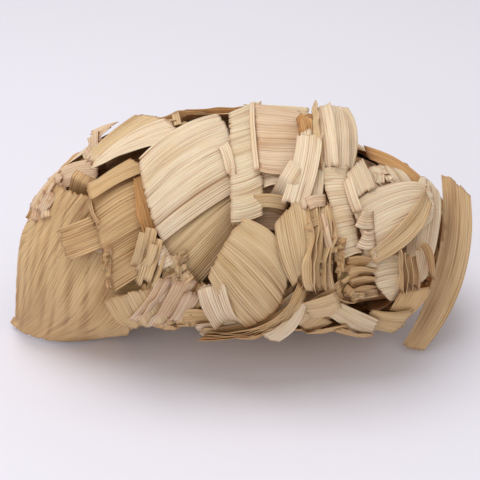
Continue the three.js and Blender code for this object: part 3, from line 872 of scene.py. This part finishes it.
join(
    "low_stack", "straw_husk",
    *[
        shred([(68 + k, -90 - 2 * k, 2), (80, -93 - 2 * k, 4), (93, -98 - 2 * k, 1)], 7, 50 - 10 * k)
        for k in range(4)
    ],
    *scattered(151, 9, (88, -94), (13, 5), (9, 18, 5, 10), 20, rise=5, wave=1.0),
)

# ---- The right end --------------------------------------------------------------------------
# Leaves wrapped round the right end, gathered at its top right and fanning out to the left and
# down. Small stiff scraps, ridged curls and a torn lip stand off them.
husk("end_arch", curls=(0, 0, 2, 0))
husk("flap_back")
husk("end_wrap", ends=(3, 3))
husk("cone_husk", pleats=(5, 0.4, 0, 1))
husk("right_fan", folds=0.05, warp=0.4)
join(
    "fan_scraps", "cream_husk",
    *[
        shred([(83 + k, turn, 2), (89 + k, turn - 1, 3), (96 + k, turn, 1)], 13, 8, wave=0.8)
        for k, turn in enumerate((-50, -59, -68))
    ],
    *scattered(101, 6, (107, -22), (5, 5), (7, 14, 4, 8), 80, wave=1.2),
)
husk("right_curl", curls=(0, 0, 2, 2), reach=6)
husk("flap_front")
join(
    "flap_strip", "cream_husk",
    shred([(76, -32, 1), (79, -40, 3), (84, -48, 1)], 8, 35, wave=0.8),
)
join(
    "ridged_curls", "straw_husk",
    *[
        shred([(x, -60 - k, 1), (x + 2, -71, 5), (x + 3, -86 + k, 1)], 8, 75 - 12 * k, cup=1.5,
              wave=1.3, tooth=3)
        for k, x in enumerate((115, 118, 122, 126))
    ],
    shred([(129, -60, 1), (134, -55, 5), (140, -61, 4), (142, -74, 1)], 8, 60, wave=1.0),
)

# ---- The slender husk and the silk ----------------------------------------------------------
# One long narrow leaf stands clear of the right end and leans out, its edges turned up. A few
# hairs of corn silk, about 0.6 mm of them stuck together, are caught beside it.
husk("slender_husk", free=True, ribs=0.2, folds=0.05, curls=(0, 0, 2, 2), reach=5)
SILK_HAIRS = 5
join(
    "silk", "tan_husk",
    *[
        shred([(154, -58, 6), (162 + k, -56 + 2 * k, 14), (168 + 2 * k, -60 + 5 * k, 15 + k)],
              0.6, wave=0.1, tooth=0.2)
        for k in range(SILK_HAIRS)
    ],
)

# ---- The lower edge on the right ------------------------------------------------------------
# Short torn leaves splayed out along the foot of the bundle, one over another, and thin strips
# that lie against the surface. One leaf is pressed flat under the bundle.
husk("low_flap")
husk("mid_base")
join(
    "base_leaves", "straw_husk",
    shred([(45, -99, 1), (58, -95, 3), (72, -91, 1)], 21, 10, wave=0.9, tooth=4),
    shred([(43, -106, 0), (56, -104, 2), (68, -103, 0)], 15, 15, wave=0.9, tooth=4),
)
for name in ("mid_base_low", "right_base", "pale_base", "tongue"):
    husk(name)
join(
    "floor_strips", "tan_husk",
    shred([(39, -121, 0), (58, -114, 2), (79, -107, 0)], 10, 20, wave=0.6),
    shred([(47, -124, 0), (66, -119, 1), (86, -113, 0)], 8, 20, wave=0.6),
    shred([(70, -109, 1), (83, -113, 2), (97, -117, 0)], 9, 15, wave=0.6),
    shred([(-4, -124, 0), (6, -121, 1), (17, -118, 0)], 8, 10, wave=0.6),
)
husk("floor_husk", free=True, ends=(12, 12), splits=6)

# ---- The painted shade in the folds ---------------------------------------------------------
# Painted shade: leaf deep in the bundle is coloured browner, where shade falls. How sheltered
# each place is goes by how far it lies under the bundle's outside, which bridges hollows up to
# about 25 mm wide.
BRIDGED_CELLS = 5
SHADE_FROM, SHADE_FULL = 5, 28  # how deep the shade begins, and where it is full
outside = pile.copy()
for _ in range(BRIDGED_CELLS):
    outside = np.maximum.reduce([outside, np.roll(outside, 1, 0), np.roll(outside, -1, 0),
                                 np.roll(outside, 1, 1), np.roll(outside, -1, 1)])
for _ in range(BRIDGED_CELLS):
    outside = (outside + np.roll(outside, 1, 0) + np.roll(outside, -1, 0) + np.roll(outside, 1, 1)
               + np.roll(outside, -1, 1)) / 5  # the mean of a cell and its four neighbours
for piece in leaves:
    spots = np.empty(3 * len(piece.data.vertices))
    piece.data.vertices.foreach_get("co", spots)
    along, turn, height = locate(spots.reshape(-1, 3) / MM)
    depth = outside[pile_cell(along, turn)] - height
    layer = piece.data.attributes.new("painted_shade", "FLOAT", "POINT")
    layer.data.foreach_set("value", step(depth, SHADE_FROM, SHADE_FULL).astype(np.float32))

# ---- The floor, the light and the camera ----------------------------------------------------
# A sheet of pale lavender-white paper, matt and unprinted, under a large soft light above it and
# a little to the left, with a weaker one from the front left. Lengths are metres here.
FLOOR_SIZE = 8.0
SKY_STRENGTH = 0.64
bpy.ops.mesh.primitive_plane_add(size=FLOOR_SIZE, location=(0, 0, 0))
floor = bpy.context.object
floor.name = "paper_floor"
paper = bpy.data.materials.new("pale background paper")
paper.use_nodes = True
paper.node_tree.nodes["Principled BSDF"].inputs["Base Color"].default_value = linear("#e9e8f3")
paper.node_tree.nodes["Principled BSDF"].inputs["Roughness"].default_value = 0.9
floor.data.materials.append(paper)

world = bpy.data.worlds.new("studio")
world.use_nodes = True
world.node_tree.nodes["Background"].inputs["Color"].default_value = linear("#faf6f2")
world.node_tree.nodes["Background"].inputs["Strength"].default_value = SKY_STRENGTH
bpy.context.scene.world = world


def soft_light(name, spot, target, size, power):
    """A square soft light of a size in metres and a power in watts, turned to its target."""
    lamp = bpy.data.lights.new(name, "AREA")
    lamp.shape = "SQUARE"
    lamp.size = size
    lamp.energy = power
    holder = bpy.data.objects.new(name, lamp)
    holder.location = spot
    holder.rotation_euler = (Vector(target) - Vector(spot)).to_track_quat("-Z", "Y").to_euler()
    bpy.context.scene.collection.objects.link(holder)


soft_light("overhead softbox", (-0.4, -0.05, 1.7), (0, 0, 0.05), 1.3, 15.5)
soft_light("front fill", (-0.9, -1.6, 1.1), (0, 0, 0.08), 1.2, 5)

camera = bpy.data.objects.new("camera", bpy.data.cameras.new("camera"))
camera.data.lens = 100
camera.data.sensor_width = 36
# It looks 32 degrees down from 1.05 m, at a place 77 mm over the floor.
AIM_HEIGHT = 0.077
CAMERA_BACK, CAMERA_UP = 0.8904, 0.5564  # 1.05 m times the cosine and the sine of 32 degrees
CAMERA_TARGET = Vector(SHIFT * MM) + Vector((0, 0, AIM_HEIGHT))
CAMERA_SPOT = CAMERA_TARGET + Vector((0, -CAMERA_BACK, CAMERA_UP))
camera.location = CAMERA_SPOT
camera.rotation_euler = (CAMERA_TARGET - CAMERA_SPOT).to_track_quat("-Z", "Y").to_euler()
bpy.context.scene.collection.objects.link(camera)
bpy.context.scene.camera = camera
bpy.context.scene.view_settings.view_transform = "Standard"
